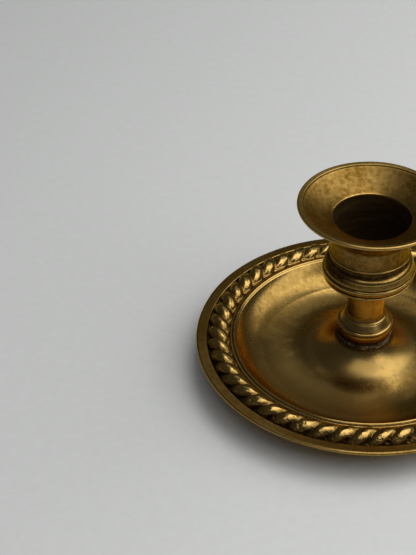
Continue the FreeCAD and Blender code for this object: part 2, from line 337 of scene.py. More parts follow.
def edge_marks(points, closed, reach):
    """How far each point of an outline stands out of its surroundings: +1 on a sharp edge, -1 in a corner.

    Each point is compared with the average of the outline around it, weighted by a bell curve of width reach,
    and the difference is measured along the outline's normal."""
    steps = np.hypot(*(np.roll(points, -1, axis=0) - points).T)
    if not closed:
        steps[-1] = 0.0
    along = np.concatenate([[0.0], np.cumsum(steps)[:-1]])
    apart = np.abs(along[:, None] - along[None, :])
    if closed:
        apart = np.minimum(apart, steps.sum() - apart)
    weight = np.exp(-0.5 * (apart / reach) ** 2) * ((steps + np.roll(steps, 1)) / 2)[None, :]
    average = (weight @ points) / weight.sum(axis=1, keepdims=True)
    stand_out = ((points - average) * outline_normals(points, closed)).sum(axis=1)
    return np.clip(stand_out / (0.4 * reach), -1, 1)


# ---- Surfaces ----------------------------------------------------

def cast_noise(rows, columns, row_gap, column_gap, size, seed):
    """Smooth random height on a grid that closes on itself both ways, with an average of 0 and a spread of 1.

    White noise is multiplied by a bell curve of frequency, which blurs it to lumps about size across."""
    white = np.random.default_rng(seed).standard_normal((rows, columns))
    row_waves = np.fft.fftfreq(rows, row_gap)[:, None]
    column_waves = np.fft.rfftfreq(columns, column_gap)[None, :]
    bell = np.exp(-0.5 * (math.pi * size) ** 2 * (row_waves ** 2 + column_waves ** 2))
    smooth = np.fft.irfft2(np.fft.rfft2(white) * bell, (rows, columns))
    smooth -= smooth.mean()
    return smooth / smooth.std()


def turned_grid(points, segments, push=None, closed=True):
    """Grid of points made by turning an outline round the upright axis: row i is outline point i, and column
    j stands at j of segments equal angles. push moves each grid point along the outline's normal."""
    angle = np.arange(segments) * FULL_TURN / segments
    radius = np.repeat(points[:, :1], segments, axis=1)
    height = np.repeat(points[:, 1:], segments, axis=1)
    if push is not None:
        normal = outline_normals(points, closed)
        radius = radius + push * normal[:, :1]
        height = height + push * normal[:, 1:]
    return np.stack([radius * np.cos(angle), radius * np.sin(angle), height], axis=-1)


def grid_faces(rows, columns, closed):
    """Corner numbers of the squares between neighbouring rows and columns. Columns meet round the axis,
    and rows meet too where the outline is closed."""
    row = np.arange(rows if closed else rows - 1)[:, None]
    column = np.arange(columns)[None, :]
    next_row = (row + 1) % rows
    next_column = (column + 1) % columns
    corners = [row * columns + column, next_row * columns + column,
               next_row * columns + next_column, row * columns + next_column]
    return np.stack(np.broadcast_arrays(*corners), axis=-1).reshape(-1, 4)


def mesh_piece(name, grid, masks, closed=True, poles=()):
    """Object made from a grid of points, with named masks per point. poles are the heights of the points on
    the axis that close an open outline at its start and its end."""
    rows, columns = grid.shape[:2]
    points = grid.reshape(-1, 3)
    faces = grid_faces(rows, columns, closed).tolist()
    for index, height in enumerate(poles):
        column = np.arange(columns)
        tip = np.full(columns, len(points))
        ring = column + (0 if index == 0 else (rows - 1) * columns)
        next_ring = (column + 1) % columns + (0 if index == 0 else (rows - 1) * columns)
        fan = [tip, ring, next_ring] if index == 0 else [tip, next_ring, ring]
        faces += np.stack(fan, axis=1).tolist()
        points = np.concatenate([points, [[0.0, 0.0, height]]])
    mesh = bpy.data.meshes.new(name)
    mesh.from_pydata(points.tolist(), [], faces)
    mesh.polygons.foreach_set("use_smooth", np.ones(len(mesh.polygons), bool))
    for label, values in masks.items():
        spread = np.zeros(len(points), np.float32)
        whole = np.broadcast_to(values, (rows, columns)).reshape(-1)
        spread[:len(whole)] = whole
        mesh.attributes.new(label, "FLOAT", "POINT").data.foreach_set("value", spread)
    mesh.validate()
    piece = bpy.data.objects.new(name, mesh)
    bpy.context.scene.collection.objects.link(piece)
    return piece


def settle(piece, slot, material, *nodes):
    """Give a finished piece its material, let it ride on the body and stand for its CAD nodes."""
    piece.data.materials.append(material)
    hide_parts(*nodes)
    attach(piece, BODY)


def wear_masks(points, closed, fine=0.0004, broad=0.0012):
    """Masks for a turned outline: worn clean on its edges, grimy in its corners."""
    sharp = edge_marks(points, closed, fine)
    wide = edge_marks(points, closed, broad)
    return {
        "rubbed_and_sheen": np.clip(1.6 * sharp, 0, 1)[:, None],
        "grime_and_shade": np.clip(-1.3 * np.minimum(sharp, wide), 0, 1)[:, None],
    }


# ---- Shader building ---------------------------------------------

def add(tree, kind, inputs=None, **settings):
    """Add a node, set its options, and fill each named input with a value or a link."""
    node = tree.nodes.new(kind)
    for key, value in settings.items():
        setattr(node, key, value)
    for key, value in (inputs or {}).items():
        if isinstance(value, bpy.types.NodeSocket):
            tree.links.new(value, node.inputs[key])
        else:
            node.inputs[key].default_value = value
    return node


def calc(tree, operation, first, second=0.0, third=0.0, clamp=False):
    """One Math node's result."""
    inputs = {0: first, 1: second, 2: third}
    return add(tree, "ShaderNodeMath", inputs, operation=operation, use_clamp=clamp).outputs[0]


def ramp(tree, value, low, high, to_low=0.0, to_high=1.0):
    """Value carried smoothly from the range low..high to to_low..to_high, and held at the ends."""
    inputs = {"Value": value, "From Min": low, "From Max": high, "To Min": to_low, "To Max": to_high}
    return add(tree, "ShaderNodeMapRange", inputs, interpolation_type="SMOOTHSTEP").outputs["Result"]


def blend_colours(tree, factor, first, second):
    """Mix of two colours."""
    node = add(tree, "ShaderNodeMix", data_type="RGBA")
    for socket, value in ((node.inputs[0], factor), (node.inputs[6], first), (node.inputs[7], second)):
        if isinstance(value, bpy.types.NodeSocket):
            tree.links.new(value, socket)
        else:
            socket.default_value = value
    return node.outputs[2]


def noise(tree, scale, detail=2.0, roughness=0.5, vector=None, **settings):
    """Noise on Object coordinates, or on another vector."""
    if vector is None:
        vector = add(tree, "ShaderNodeTexCoord").outputs["Object"]
    inputs = {"Vector": vector, "Scale": scale, "Detail": detail, "Roughness": roughness}
    return add(tree, "ShaderNodeTexNoise", inputs, **settings).outputs["Fac"]


def new_group(name, inputs, outputs):
    """Node group with named sockets. inputs are (name, type, default) and outputs (name, type)."""
    group = bpy.data.node_groups.new(name, "ShaderNodeTree")
    for label, kind, default in inputs:
        socket = group.interface.new_socket(label, in_out="INPUT", socket_type="NodeSocket" + kind)
        socket.default_value = default
    for label, kind in outputs:
        group.interface.new_socket(label, in_out="OUTPUT", socket_type="NodeSocket" + kind)
    entry = group.nodes.new("NodeGroupInput").outputs
    leave = group.nodes.new("NodeGroupOutput").inputs
    return group, entry, leave


def use(tree, group_name, **values):
    """Place a node group, filling its inputs by name; underscores in a name stand for spaces."""
    node = tree.nodes.new("ShaderNodeGroup")
    node.node_tree = bpy.data.node_groups[group_name]
    for key, value in values.items():
        socket = node.inputs[key.replace("_", " ")]
        if isinstance(value, bpy.types.NodeSocket):
            tree.links.new(value, socket)
        else:
            socket.default_value = value
    return node.outputs


def make_turning_group():
    """Turning marks: noise read quickly over radius and height and slowly over the angle makes rings."""
    group, entry, leave = new_group(
        "Turning marks",
        [("Rate", "Float", 3000.0), ("Wander", "Float", 1.5), ("Depth", "Float", 1e-5)],
        [("Height", "Float"), ("Line", "Float")])
    place = add(group, "ShaderNodeTexCoord").outputs["Object"]
    axes = add(group, "ShaderNodeSeparateXYZ", {0: place}).outputs
    across_square = calc(group, "MULTIPLY", axes[0], axes[0])
    squares = calc(group, "ADD", across_square, calc(group, "MULTIPLY", axes[1], axes[1]))
    radius = calc(group, "SQRT", squares)
    across = calc(group, "MULTIPLY", radius, entry["Rate"])
    upward = calc(group, "MULTIPLY", axes[2], entry["Rate"])
    cosine = calc(group, "MULTIPLY", calc(group, "DIVIDE", axes[0], radius), entry["Wander"])
    sine = calc(group, "MULTIPLY", calc(group, "DIVIDE", axes[1], radius), entry["Wander"])
    rings = add(group, "ShaderNodeCombineXYZ", {0: across, 1: cosine, 2: sine}).outputs[0]
    line = add(group, "ShaderNodeTexNoise", {"Vector": rings, "W": upward, "Scale": 1.0, "Detail": 3.0},
               noise_dimensions="4D").outputs["Fac"]
    group.links.new(line, leave["Line"])
    group.links.new(calc(group, "MULTIPLY", line, entry["Depth"]), leave["Height"])


def make_tarnish_group():
    """Tarnish: clouds of two sizes decide how brown the metal is. Edges stay clean and corners go dark. The
    masks also bring painted shade, made with the dark colour, and painted sheen, made as cleaner metal.
    """
    group, entry, leave = new_group(
        "Tarnish",
        [("Clean", "Color", (0.8, 0.55, 0.2, 1)), ("Brown", "Color", (0.4, 0.25, 0.08, 1)),
         ("Dark", "Color", (0.04, 0.03, 0.01, 1)), ("Rubbed", "Float", 0.0), ("Grime", "Float", 0.0),
         ("Amount", "Float", 0.5), ("Cloud Rate", "Float", 60.0), ("Fine Rate", "Float", 700.0)],
        [("Color", "Color"), ("Brownness", "Float"), ("DirtAndShade", "Float")])
    clouds = calc(group, "SUBTRACT", noise(group, entry["Cloud Rate"], 3.0, 0.6), 0.5)
    specks = calc(group, "SUBTRACT", noise(group, entry["Fine Rate"], 4.0, 0.65), 0.5)
    brownness = calc(group, "MULTIPLY_ADD", clouds, 1.5, entry["Amount"])
    brownness = calc(group, "MULTIPLY_ADD", specks, 1.4, brownness)
    # This input turns the metal clean: real wear, and on the pan's well also the painted sheen.
    brownness = calc(group, "MULTIPLY_ADD", entry["Rubbed"], -0.8, brownness, clamp=True)
    # This dark share is real dirt in the corners, and painted shade where the cup's shoulder mask sets it.
    dirt = calc(group, "MULTIPLY_ADD", specks, 1.2, 1.0)
    dirt = calc(group, "MULTIPLY", dirt, entry["Grime"], clamp=True)
    metal = blend_colours(group, brownness, entry["Clean"], entry["Brown"])
    group.links.new(blend_colours(group, dirt, metal, entry["Dark"]), leave["Color"])
    group.links.new(brownness, leave["Brownness"])
    group.links.new(dirt, leave["DirtAndShade"])


def make_pit_group():
    """Pits: in some cells of a random pattern, a small round hollow at the cell's point."""
    group, entry, leave = new_group(
        "Pits",
        [("Rate", "Float", 500.0), ("Share", "Float", 0.2), ("Size", "Float", 0.25)],
        [("Mask", "Float")])
    place = add(group, "ShaderNodeTexCoord").outputs["Object"]
    wobble = add(group, "ShaderNodeTexNoise", {"Vector": place, "Scale": 1500.0}).outputs["Color"]
    moved = add(group, "ShaderNodeVectorMath", {0: wobble, 1: (0.0004, 0.0004, 0.0004), 2: place},
                operation="MULTIPLY_ADD").outputs[0]
    cells = add(group, "ShaderNodeTexVoronoi", {"Vector": moved, "Scale": entry["Rate"]}).outputs
    lots = add(group, "ShaderNodeSeparateColor", {0: cells["Color"]}).outputs
    chosen = calc(group, "LESS_THAN", lots[0], entry["Share"])
    size = calc(group, "MULTIPLY", entry["Size"], calc(group, "MULTIPLY_ADD", lots[1], 0.8, 0.4))
    depth = calc(group, "SUBTRACT", 1.0, calc(group, "DIVIDE", cells["Distance"], size), clamp=True)
    group.links.new(calc(group, "MULTIPLY", chosen, depth), leave["Mask"])


def make_scratch_group():
    """Scratches: noise stretched along one direction and cut to its thin crests, for three directions."""
    group, entry, leave = new_group(
        "Scratches",
        [("Rate", "Float", 220.0), ("Share", "Float", 0.3)],
        [("Mask", "Float")])
    place = add(group, "ShaderNodeTexCoord").outputs["Object"]
    total = 0.0
    for turn in (0.35, 1.5, 2.6):
        spin = {"Vector": place, "Rotation": (0.3 * turn, 0.2, turn)}
        turned = add(group, "ShaderNodeMapping", spin).outputs[0]
        stretch = {0: turned, 1: (0.07, 1.0, 1.0)}
        drawn = add(group, "ShaderNodeVectorMath", stretch, operation="MULTIPLY").outputs[0]
        crest = noise(group, calc(group, "MULTIPLY", entry["Rate"], 6.0), 1.0, 0.5, drawn)
        thin = ramp(group, crest, 0.70, 0.74)
        total = calc(group, "MAXIMUM", thin, total)
    patches = ramp(group, noise(group, entry["Rate"], 1.0), calc(group, "SUBTRACT", 1.0, entry["Share"]), 1.0)
    group.links.new(calc(group, "MULTIPLY", total, patches), leave["Mask"])


SHADER_GROUPS = (make_turning_group, make_tarnish_group, make_pit_group, make_scratch_group)


def shared_groups():
    """Build the shared node groups, once."""
    if "Tarnish" not in bpy.data.node_groups:
        for make in SHADER_GROUPS:
            make()


def mask_of(tree, label):
    """A mask stored on the piece's points."""
    return add(tree, "ShaderNodeAttribute", attribute_name=label).outputs["Fac"]


def brass(name, tarnish, ring_rate, ring_depth, pit_share, scratch_share=0.5, cloud_rate=60.0,
          rough=(0.20, 0.34), tarnished=None):
    """Aged brass: tarnish and dirt give the colour and most of the roughness, and rings, pits, scratches
    and a fine hand-worn skin give the height. The masks also bring painted sheen and painted shade into the
    colour.
    rough is the roughness of clean and of brown metal, and tarnished the brown's colour. Soot is rough and
    hardly metallic. Heights are metres."""
    shared_groups()
    hues = bpy.context.scene.candlestick.colours
    material = bpy.data.materials.new(name)
    material.use_nodes = True
    tree = material.node_tree
    shader = tree.nodes["Principled BSDF"]
    shader.inputs["Specular Tint"].default_value = (*hues.glance, 1)
    soot = mask_of(tree, "soot")
    amount = calc(tree, "ADD", mask_of(tree, "tarnish"), tarnish)
    brown = tarnished or hues.brown
    coat = use(tree, "Tarnish", Clean=(*hues.clean, 1), Brown=(*brown, 1), Dark=(*hues.dark, 1),
               Rubbed=mask_of(tree, "rubbed_and_sheen"), Grime=mask_of(tree, "grime_and_shade"), Amount=amount,
               Cloud_Rate=cloud_rate)
    pits = use(tree, "Pits", Rate=560.0, Share=pit_share, Size=0.17)["Mask"]
    scratches = use(tree, "Scratches", Share=scratch_share)["Mask"]
    rings = use(tree, "Turning marks", Rate=ring_rate, Depth=ring_depth)
    colour_now = blend_colours(tree, ramp(tree, pits, 0.1, 0.7, 0.0, 0.8), coat["Color"], (*hues.dark, 1))
    colour_now = blend_colours(tree, soot, colour_now, (*hues.soot, 1))
    tree.links.new(colour_now, shader.inputs["Base Color"])
    roughness = calc(tree, "MULTIPLY_ADD", coat["Brownness"], rough[1] - rough[0], rough[0])
    roughness = calc(tree, "MULTIPLY_ADD", coat["DirtAndShade"], 0.25, roughness)
    roughness = calc(tree, "MULTIPLY_ADD", soot, 0.3, roughness)
    roughness = calc(tree, "MULTIPLY_ADD", mask_of(tree, "satin"), 0.24, roughness)
    roughness = calc(tree, "MULTIPLY_ADD", scratches, 0.18, roughness, clamp=True)
    tree.links.new(roughness, shader.inputs["Roughness"])
    tree.links.new(calc(tree, "MULTIPLY_ADD", soot, -0.85, 1.0), shader.inputs["Metallic"])
    skin = calc(tree, "MULTIPLY", noise(tree, 900.0, 3.0, 0.6), 1.8e-5)
    height = calc(tree, "ADD", rings["Height"], skin)
    height = calc(tree, "MULTIPLY_ADD", pits, -5e-5, height)
    height = calc(tree, "MULTIPLY_ADD", scratches, -5e-6, height)
    bump = add(tree, "ShaderNodeBump", {"Strength": 1.0, "Distance": 1.0, "Height": height})
    tree.links.new(bump.outputs[0], shader.inputs["Normal"])
    return material


def dull_metal(name, base, spots, metallic, rough):
    """Plain dull metal with blotches of a second colour."""
    material = bpy.data.materials.new(name)
    material.use_nodes = True
    tree = material.node_tree
    shader = tree.nodes["Principled BSDF"]
    shader.inputs["Metallic"].default_value = metallic
    blotches = ramp(tree, noise(tree, 500.0, 5.0, 0.65), 0.45, 0.65)
    tree.links.new(blend_colours(tree, blotches, (*base, 1), (*spots, 1)), shader.inputs["Base Color"])
    tree.links.new(calc(tree, "MULTIPLY_ADD", blotches, 0.3, rough), shader.inputs["Roughness"])
    height = calc(tree, "MULTIPLY", noise(tree, 2500.0, 4.0, 0.7), 4e-5)
    bump = add(tree, "ShaderNodeBump", {"Strength": 1.0, "Distance": 1.0, "Height": height})
    tree.links.new(bump.outputs[0], shader.inputs["Normal"])
    return material


# ---- Pieces ------------------------------------------------------

class CANDLESTICK_OT_drip_pan(Operator):
    """Turn the drip pan, slightly uneven as a hand-finished casting is"""
    bl_idname = "candlestick.build_drip_pan"
    bl_label = "Drip Pan"

    def execute(self, context):
        sizes = context.scene.candlestick.pan
        rope = context.scene.candlestick.rope
        gap = 0.00035
        rim = sizes.radius - sizes.rim_round
        diagonal = sizes.rim_round * math.sqrt(0.5)
        channel_in = rope.inner_radius - 0.0001
        channel_out = rope.outer_radius + 0.0001
        top = outline(
            (sizes.screw_hole, sizes.seat_top),
            (sizes.seat_radius, sizes.seat_top),
            (sizes.waist_radius, sizes.waist_height, sizes.cone_radius, sizes.cone_height),
            (sizes.floor_radius, sizes.floor_height, sizes.edge_radius, sizes.edge_height),
            (sizes.wall_radius, sizes.wall_height, sizes.mouth_radius, sizes.band_top),
            (sizes.bead_radius - sizes.bead_half, sizes.band_top),
            (sizes.bead_radius, sizes.band_top + sizes.bead_rise,
             sizes.bead_radius + sizes.bead_half, sizes.band_top),
            (channel_in, sizes.band_top),
            (channel_in, rope.seat),
            (channel_out, rope.seat),
            (channel_out, sizes.rim_top),
            (rim, sizes.rim_top),
            (rim + diagonal, sizes.rim_top - sizes.rim_round + diagonal,
             sizes.radius, sizes.rim_top - sizes.rim_round),
            gap=gap)
        underside = outline(
            (sizes.radius, sizes.rim_under + sizes.rim_round),
            (rim + diagonal, sizes.rim_under + sizes.rim_round - diagonal, rim, sizes.rim_under),
            RIM_SLOPE,
            RIM_ROOT,
            (*UNDER_WALL, sizes.foot_radius + 0.0004, sizes.under),
            (UNDER_FLAT_RADIUS, sizes.under),
            (*UNDER_CONE, BOSS_UNDER_RADIUS, sizes.washer_seat),
            (sizes.screw_hole, sizes.washer_seat),
            gap=3 * gap)
        points = np.concatenate([ease(top, *EASED, EASE_REACH), underside])
        segments = 360
        column_gap = sizes.floor_radius * FULL_TURN / segments
        lumps = cast_noise(len(points), segments, gap, column_gap, 0.006, 3)
        ripples = cast_noise(len(points), segments, gap, column_gap, 0.002, 4)
        calm = np.clip((points[:, 0] - 0.012) / 0.006, 0, 1)[:, None]
        push = sizes.unevenness * calm * (0.8 * lumps + 0.2 * ripples)
        masks = wear_masks(points, True)
        masks.update(pan_wear(points, segments, sizes, channel_out))
        boss = smooth_step(points[:, :1], *BOSS_EDGE)
        # The pan's worn-clean mask also takes the painted sheen on the well's front left.
        masks["rubbed_and_sheen"] = np.maximum(masks["rubbed_and_sheen"] * boss, masks.pop("handled_and_sheen"))
        masks["grime_and_shade"] = np.maximum(masks["grime_and_shade"], masks.pop("dirt"))
        piece = mesh_piece("pan_turned", turned_grid(points, segments, push), masks)
        material = brass("aged_pan", 0.50, 2600.0, 4e-6, 0.16, scratch_share=0.65, rough=(0.17, 0.30))
        settle(piece, "pan_brass", material, "drip_pan")
        return {"FINISHED"}


def pan_wear(points, segments, sizes, rope_edge):
    """Masks for the pan's wear: brown on the outer band and a little on the inner one, bright on the cone
    under the stem, dirt beside the solder, and a painted sheen in the well's front left: cleaner, brighter
    metal with a real satin roughness.

    The sheen falls off with the cosine of the angle from its middle; the others depend on the radius."""
    sheen_middle = math.radians(243.0)
    radius = points[:, :1]
    angle = np.arange(segments)[None, :] * FULL_TURN / segments
    outer = smooth_step(radius, rope_edge - 0.0001, rope_edge + 0.0002)
    inner = smooth_step(radius, sizes.bead_radius, sizes.bead_radius + 0.0004) * (1 - outer)
    cone = smooth_step(radius, sizes.seat_radius, sizes.waist_radius)
    cone = cone * (1 - smooth_step(radius, *BRIGHT_CONE_END))
    # Painted sheen: the well's front left is made cleaner, brighter metal; its added roughness is a real
    # satin.
    sheen = smooth_step(np.cos(angle - sheen_middle), 0.45, 0.95)
    sheen = sheen * smooth_step(radius, *SHEEN_PATCH_START) * (1 - smooth_step(radius, *SHEEN_PATCH_END))
    on_boss = (radius > 0.0060) * (points[:, 1:] > sizes.waist_height)
    solder_line = on_boss * (1 - smooth_step(radius, *SOLDER_DIRT))
    return {
        "tarnish": 0.45 * outer + 0.22 * inner,
        "handled_and_sheen": 0.9 * np.maximum(cone, sheen),
        "satin": np.maximum(sheen, 0.4 * cone),
        "dirt": np.maximum(0.16 * outer, 0.85 * solder_line),
    }


class CANDLESTICK_OT_foot_ring(Operator):
    """Turn the low ring that the pan stands on"""
    bl_idname = "candlestick.build_foot_ring"
    bl_label = "Foot Ring"

    def execute(self, context):
        sizes = context.scene.candlestick.pan
        inner = sizes.foot_radius - sizes.foot_width
        corner = 0.0004
        points = outline(
            (inner, sizes.under),
            (sizes.foot_radius, sizes.under),
            (sizes.foot_radius, corner),
            (sizes.foot_radius - corner, 0.0),
            (inner + corner, 0.0),
            (inner, corner),
            (inner, sizes.under),
            gap=0.0003)[:-1]
        piece = mesh_piece("foot_ring_turned", turned_grid(points, 256), wear_masks(points, True))
        settle(piece, "pan_brass", bpy.data.materials["aged_pan"], "foot_ring")
        return {"FINISHED"}


class CANDLESTICK_OT_rope_border(Operator):
    """Lay the twisted rope border in its channel"""
    bl_idname = "candlestick.build_rope_border"
    bl_label = "Rope Border"

    def execute(self, context):
        grid, masks = rope_surface(context.scene.candlestick.rope)
        piece = mesh_piece("rope_twisted", grid, masks)
        material = brass("aged_rope", 0.40, 900.0, 0.0, 0.25, scratch_share=0.7, cloud_rate=250.0)
        settle(piece, "rope_brass", material, "rope_border")
        return {"FINISHED"}


def soft_floor(values, floor, blend):
    """The greater of values and floor, rounded over where they meet: half of the sum and of the root of the
    squared difference plus the squared blend."""
    return 0.5 * (values + floor + np.sqrt((values - floor) ** 2 + blend ** 2))


def rope_surface(sizes):
    """Grid and masks of a two-strand rope laid in a ring, flat underneath.

    Column j is an angle round the pan, and row i an angle over the rope's section, from its inner to its
    outer side. The strands turn half round the section for each crest round the pan. The distance from
    the section's middle is the half-width less a groove, whose depth is a power of the cosine of the
    angle to the nearest strand and grows outwards. The outer side is rougher, and the inner side runs out
    into the plain band."""
    per_strand = 34
    arch_rows = 46
    base_rows = 4
    columns = sizes.strands * per_strand
    around = np.arange(columns)[None, :] * FULL_TURN / columns
    over = np.linspace(-0.5, 0.5, arch_rows)[:, None] * math.pi
    twist = over + 0.5 * sizes.strands * (around - sizes.start)
    strand = np.round(twist / math.pi).astype(int) % sizes.strands
    lottery = np.random.default_rng(11)
    tallness = lottery.normal(1.0, 0.03, sizes.strands)[strand]
    middle = (sizes.inner_radius + sizes.outer_radius) / 2
    half = (sizes.outer_radius - sizes.inner_radius) / 2
    rise = sizes.crest - sizes.seat
    column_gap = middle * FULL_TURN / columns
    row_gap = half * math.pi / arch_rows
    drift = cast_noise(arch_rows, columns, row_gap, column_gap, 0.0016, 20)
    crest = np.abs(np.cos(twist + 0.10 * drift)) ** sizes.squareness
    outward = smooth_step(over, 0.0, 1.1)
    deep = (1 - sizes.fullness) * (0.75 + 0.35 * smooth_step(over, -1.0, 0.2) + 0.25 * outward)
    lift = (1 - deep * (1 - crest)) * np.minimum(tallness, 1.02)
    lumps = cast_noise(arch_rows, columns, row_gap, column_gap, 0.0011, 21)
    grains = cast_noise(arch_rows, columns, row_gap, column_gap, 0.00045, 22)
    groove = 1 - crest
    coarse = (0.35 + 1.2 * outward) * lumps
    bumps = sizes.roughness * (coarse + (0.12 + 1.3 * outward + 0.5 * groove) * grains)
    bumps -= 0.00022 * outward * smooth_step(lumps + 0.8 * grains, 0.9, 1.8)
    reach = half * lift + bumps
    radius = middle + reach * np.sin(over)
    height = sizes.seat + np.maximum((rise * lift + bumps) * np.cos(over), 0.0)
    skirt = sizes.band + 0.00004 - 0.0009 * smooth_step(over, -0.9, 0.3)
    height = soft_floor(height, skirt, 0.00022)
    radius[0] = sizes.inner_radius - 0.00006
    height[0] = sizes.band - 0.00005
    base_share = np.linspace(1, 0, base_rows + 2)[1:-1, None]
    base_radius = radius[:1] + (sizes.outer_radius - radius[:1]) * base_share
    radius = np.concatenate([radius, np.full((1, columns), sizes.outer_radius), base_radius])
    base = np.full((base_rows + 1, columns), sizes.seat)
    height = np.concatenate([height, base])
    grid = np.stack([radius * np.cos(around), radius * np.sin(around), height], axis=-1)
    ridge = smooth_step(crest, 0.45, 0.95) * smooth_step(height[:arch_rows], sizes.seat + 0.0016, sizes.crest)
    polish = ridge * (1 - 0.9 * outward)
    dirt = np.clip(0.55 * groove ** 1.3 * smooth_step(over, -1.35, -0.5) + 0.42 * outward - 0.4 * ridge, 0, 1)
    filler = np.ones(base.shape)
    return grid, {"rubbed_and_sheen": np.concatenate([polish, 0 * filler]), "grime_and_shade": np.concatenate([dirt, filler])}


class CANDLESTICK_OT_stem(Operator):
    """Turn the stem, with its foot band, rounded crest, skirt, collar, neck and spreading head"""
    bl_idname = "candlestick.build_stem"
    bl_label = "Stem"

    def execute(self, context):
        sizes = context.scene.candlestick.stem
        foot = foot_of("stem")
        top = top_of("stem")
        points = outline(
            (0.0005, top),
            (sizes.head_radius, top),
            (sizes.head_radius, top - 0.0005),
            (sizes.neck_radius + 0.00085, top - 0.0015, sizes.neck_radius, sizes.neck_high),
            (sizes.neck_radius, sizes.neck_low),
            (sizes.neck_radius + 0.00006, sizes.neck_low - 0.0009,
             sizes.neck_radius + 0.00025, sizes.collar_height + 0.0003),
            (sizes.collar_radius, sizes.collar_height),
            (sizes.collar_radius - 0.00005, sizes.collar_height - 0.00025),
            (sizes.skirt_radius, sizes.skirt_height),
            (sizes.ledge_radius, sizes.ledge_height),
            (*CREST_ROUND, sizes.crest_radius, sizes.crest_height),
            (sizes.crest_radius - 0.00005, sizes.crest_height - 0.0003),
            (sizes.band_radius, sizes.band_top),
            (*BAND_SWELL, sizes.foot_radius, sizes.foot_top),
            (sizes.foot_radius, foot),
            (0.0005, foot),
            gap=0.00018)
        piece = mesh_piece("stem_turned", turned_grid(points, 200, closed=False), wear_masks(points, False),
                           closed=False, poles=(top, foot))
        settle(piece, "stem_brass", brass("aged_stem", 0.28, 5200.0, 1.0e-5, 0.05), "stem")
        return {"FINISHED"}


class CANDLESTICK_OT_solder(Operator):
    """Run the ragged line of solder round the stem's foot"""
    bl_idname = "candlestick.build_solder"
    bl_label = "Solder Line"

    def execute(self, context):
        sizes = context.scene.candlestick.stem
        foot = foot_of("solder_fillet")
        inner = sizes.foot_radius - 0.00003
        points = outline(
            (inner, foot + sizes.solder_height),
            (inner + 0.62 * sizes.solder_width, foot + 0.62 * sizes.solder_height,
             inner + sizes.solder_width, foot),
            (inner, foot),
            gap=0.00012)
        segments = 480
        gap = inner * FULL_TURN / segments
        rough = cast_noise(len(points), segments, 0.00012, gap, 0.0005, 31)
        waves = cast_noise(len(points), segments, 0.00012, gap, 0.0016, 32)
        open_side = np.clip((points[:, :1] - inner) / (0.3 * sizes.solder_width), 0, 1)
        push = open_side * (0.00009 * rough + 0.00011 * waves)
        grid = turned_grid(points, segments, push, closed=True)
        grid[..., 2] = np.maximum(grid[..., 2], foot)
        piece = mesh_piece("solder_ragged", grid, {})
        hues = context.scene.candlestick.colours
        settle(piece, "solder", dull_metal("dull_solder", hues.solder, hues.dark, 0.7, 0.45), "solder_fillet")
        return {"FINISHED"}


class CANDLESTICK_OT_seat_disc(Operator):
    """Turn the thin disc between stem and cup"""
    bl_idname = "candlestick.build_seat_disc"
    bl_label = "Seat Disc"

    def execute(self, context):
        sizes = context.scene.candlestick.cup
        low, high = foot_of("seat_disc"), top_of("seat_disc")
        hole = SCREW_HOLE_RADIUS
        edge = sizes.disc_radius - 0.00025
        points = outline(
            (hole, high),
            (edge, high),
            (sizes.disc_radius, (low + high) / 2, edge, low),
            (hole, low),
            (hole, high),
            gap=0.00025)[:-1]
        piece = mesh_piece("seat_disc_turned", turned_grid(points, 256), wear_masks(points, True))
        settle(piece, "cup_brass", cup_material(), "seat_disc")
        return {"FINISHED"}


def cup_material():
    """Brass of the cup and its disc, made once."""
    if "aged_cup" in bpy.data.materials:
        return bpy.data.materials["aged_cup"]
    film = bpy.context.scene.candlestick.colours.film
    return brass("aged_cup", 0.80, 4200.0, 6e-6, 0.12, rough=(0.19, 0.30), tarnished=film)


class CANDLESTICK_OT_candle_cup(Operator):
    """Turn the candle cup: flare, lip, cylinder, stepped shoulder and flange, and the rough bore inside"""
    bl_idname = "candlestick.build_candle_cup"
    bl_label = "Candle Cup"

    def execute(self, context):
        sizes = context.scene.candlestick.cup
        points, bore = cup_outline(sizes)
        segments = 300
        gap = 0.0003
        column_gap = sizes.mouth_radius * FULL_TURN / segments
        lumps = cast_noise(len(points), segments, gap, column_gap, 0.005, 41)
        tears = cast_noise(len(points), segments, gap, 0.15 * column_gap, 0.0006, 42)
        above = points[:, 1:] > sizes.mouth_height
        flare = np.clip((points[:, :1] - sizes.mouth_radius) / 0.003, 0, 1) * above
        push = 0.00003 * lumps * flare + 0.00006 * tears * bore[:, None]
        masks = wear_masks(points, True)
        masks["soot"] = 0.93 * bore[:, None]
        # Painted shade: the left side of the shoulder's ledges is darkened, on top of the real grime in the
        # corners.
        masks["grime_and_shade"] = np.maximum(masks["grime_and_shade"], shoulder_painted_shade(points, segments, sizes))
        masks["tarnish"] = -0.15 * flare
        masks["satin"] = 0.5 * flare
        piece = mesh_piece("cup_turned", turned_grid(points, segments, push), masks)
        settle(piece, "cup_brass", cup_material(), "candle_cup")
        return {"FINISHED"}


def shoulder_painted_shade(points, segments, sizes):
    """Painted shade on the left of the fine ledges, the side away from the lights: a band of heights times a
    step in the cosine of the angle.
    """
    height = points[:, 1:]
    angle = np.arange(segments)[None, :] * FULL_TURN / segments
    shaded_side = math.radians(185.0)
    band = smooth_step(height, sizes.seat + 0.0030, sizes.seat + 0.0040)
    band = band * (1 - smooth_step(height, *LEDGE_SHADE_TOP))
    outer = points[:, :1] > sizes.cylinder_radius
    return 0.95 * band * outer * smooth_step(np.cos(angle - shaded_side), 0.15, 0.75)


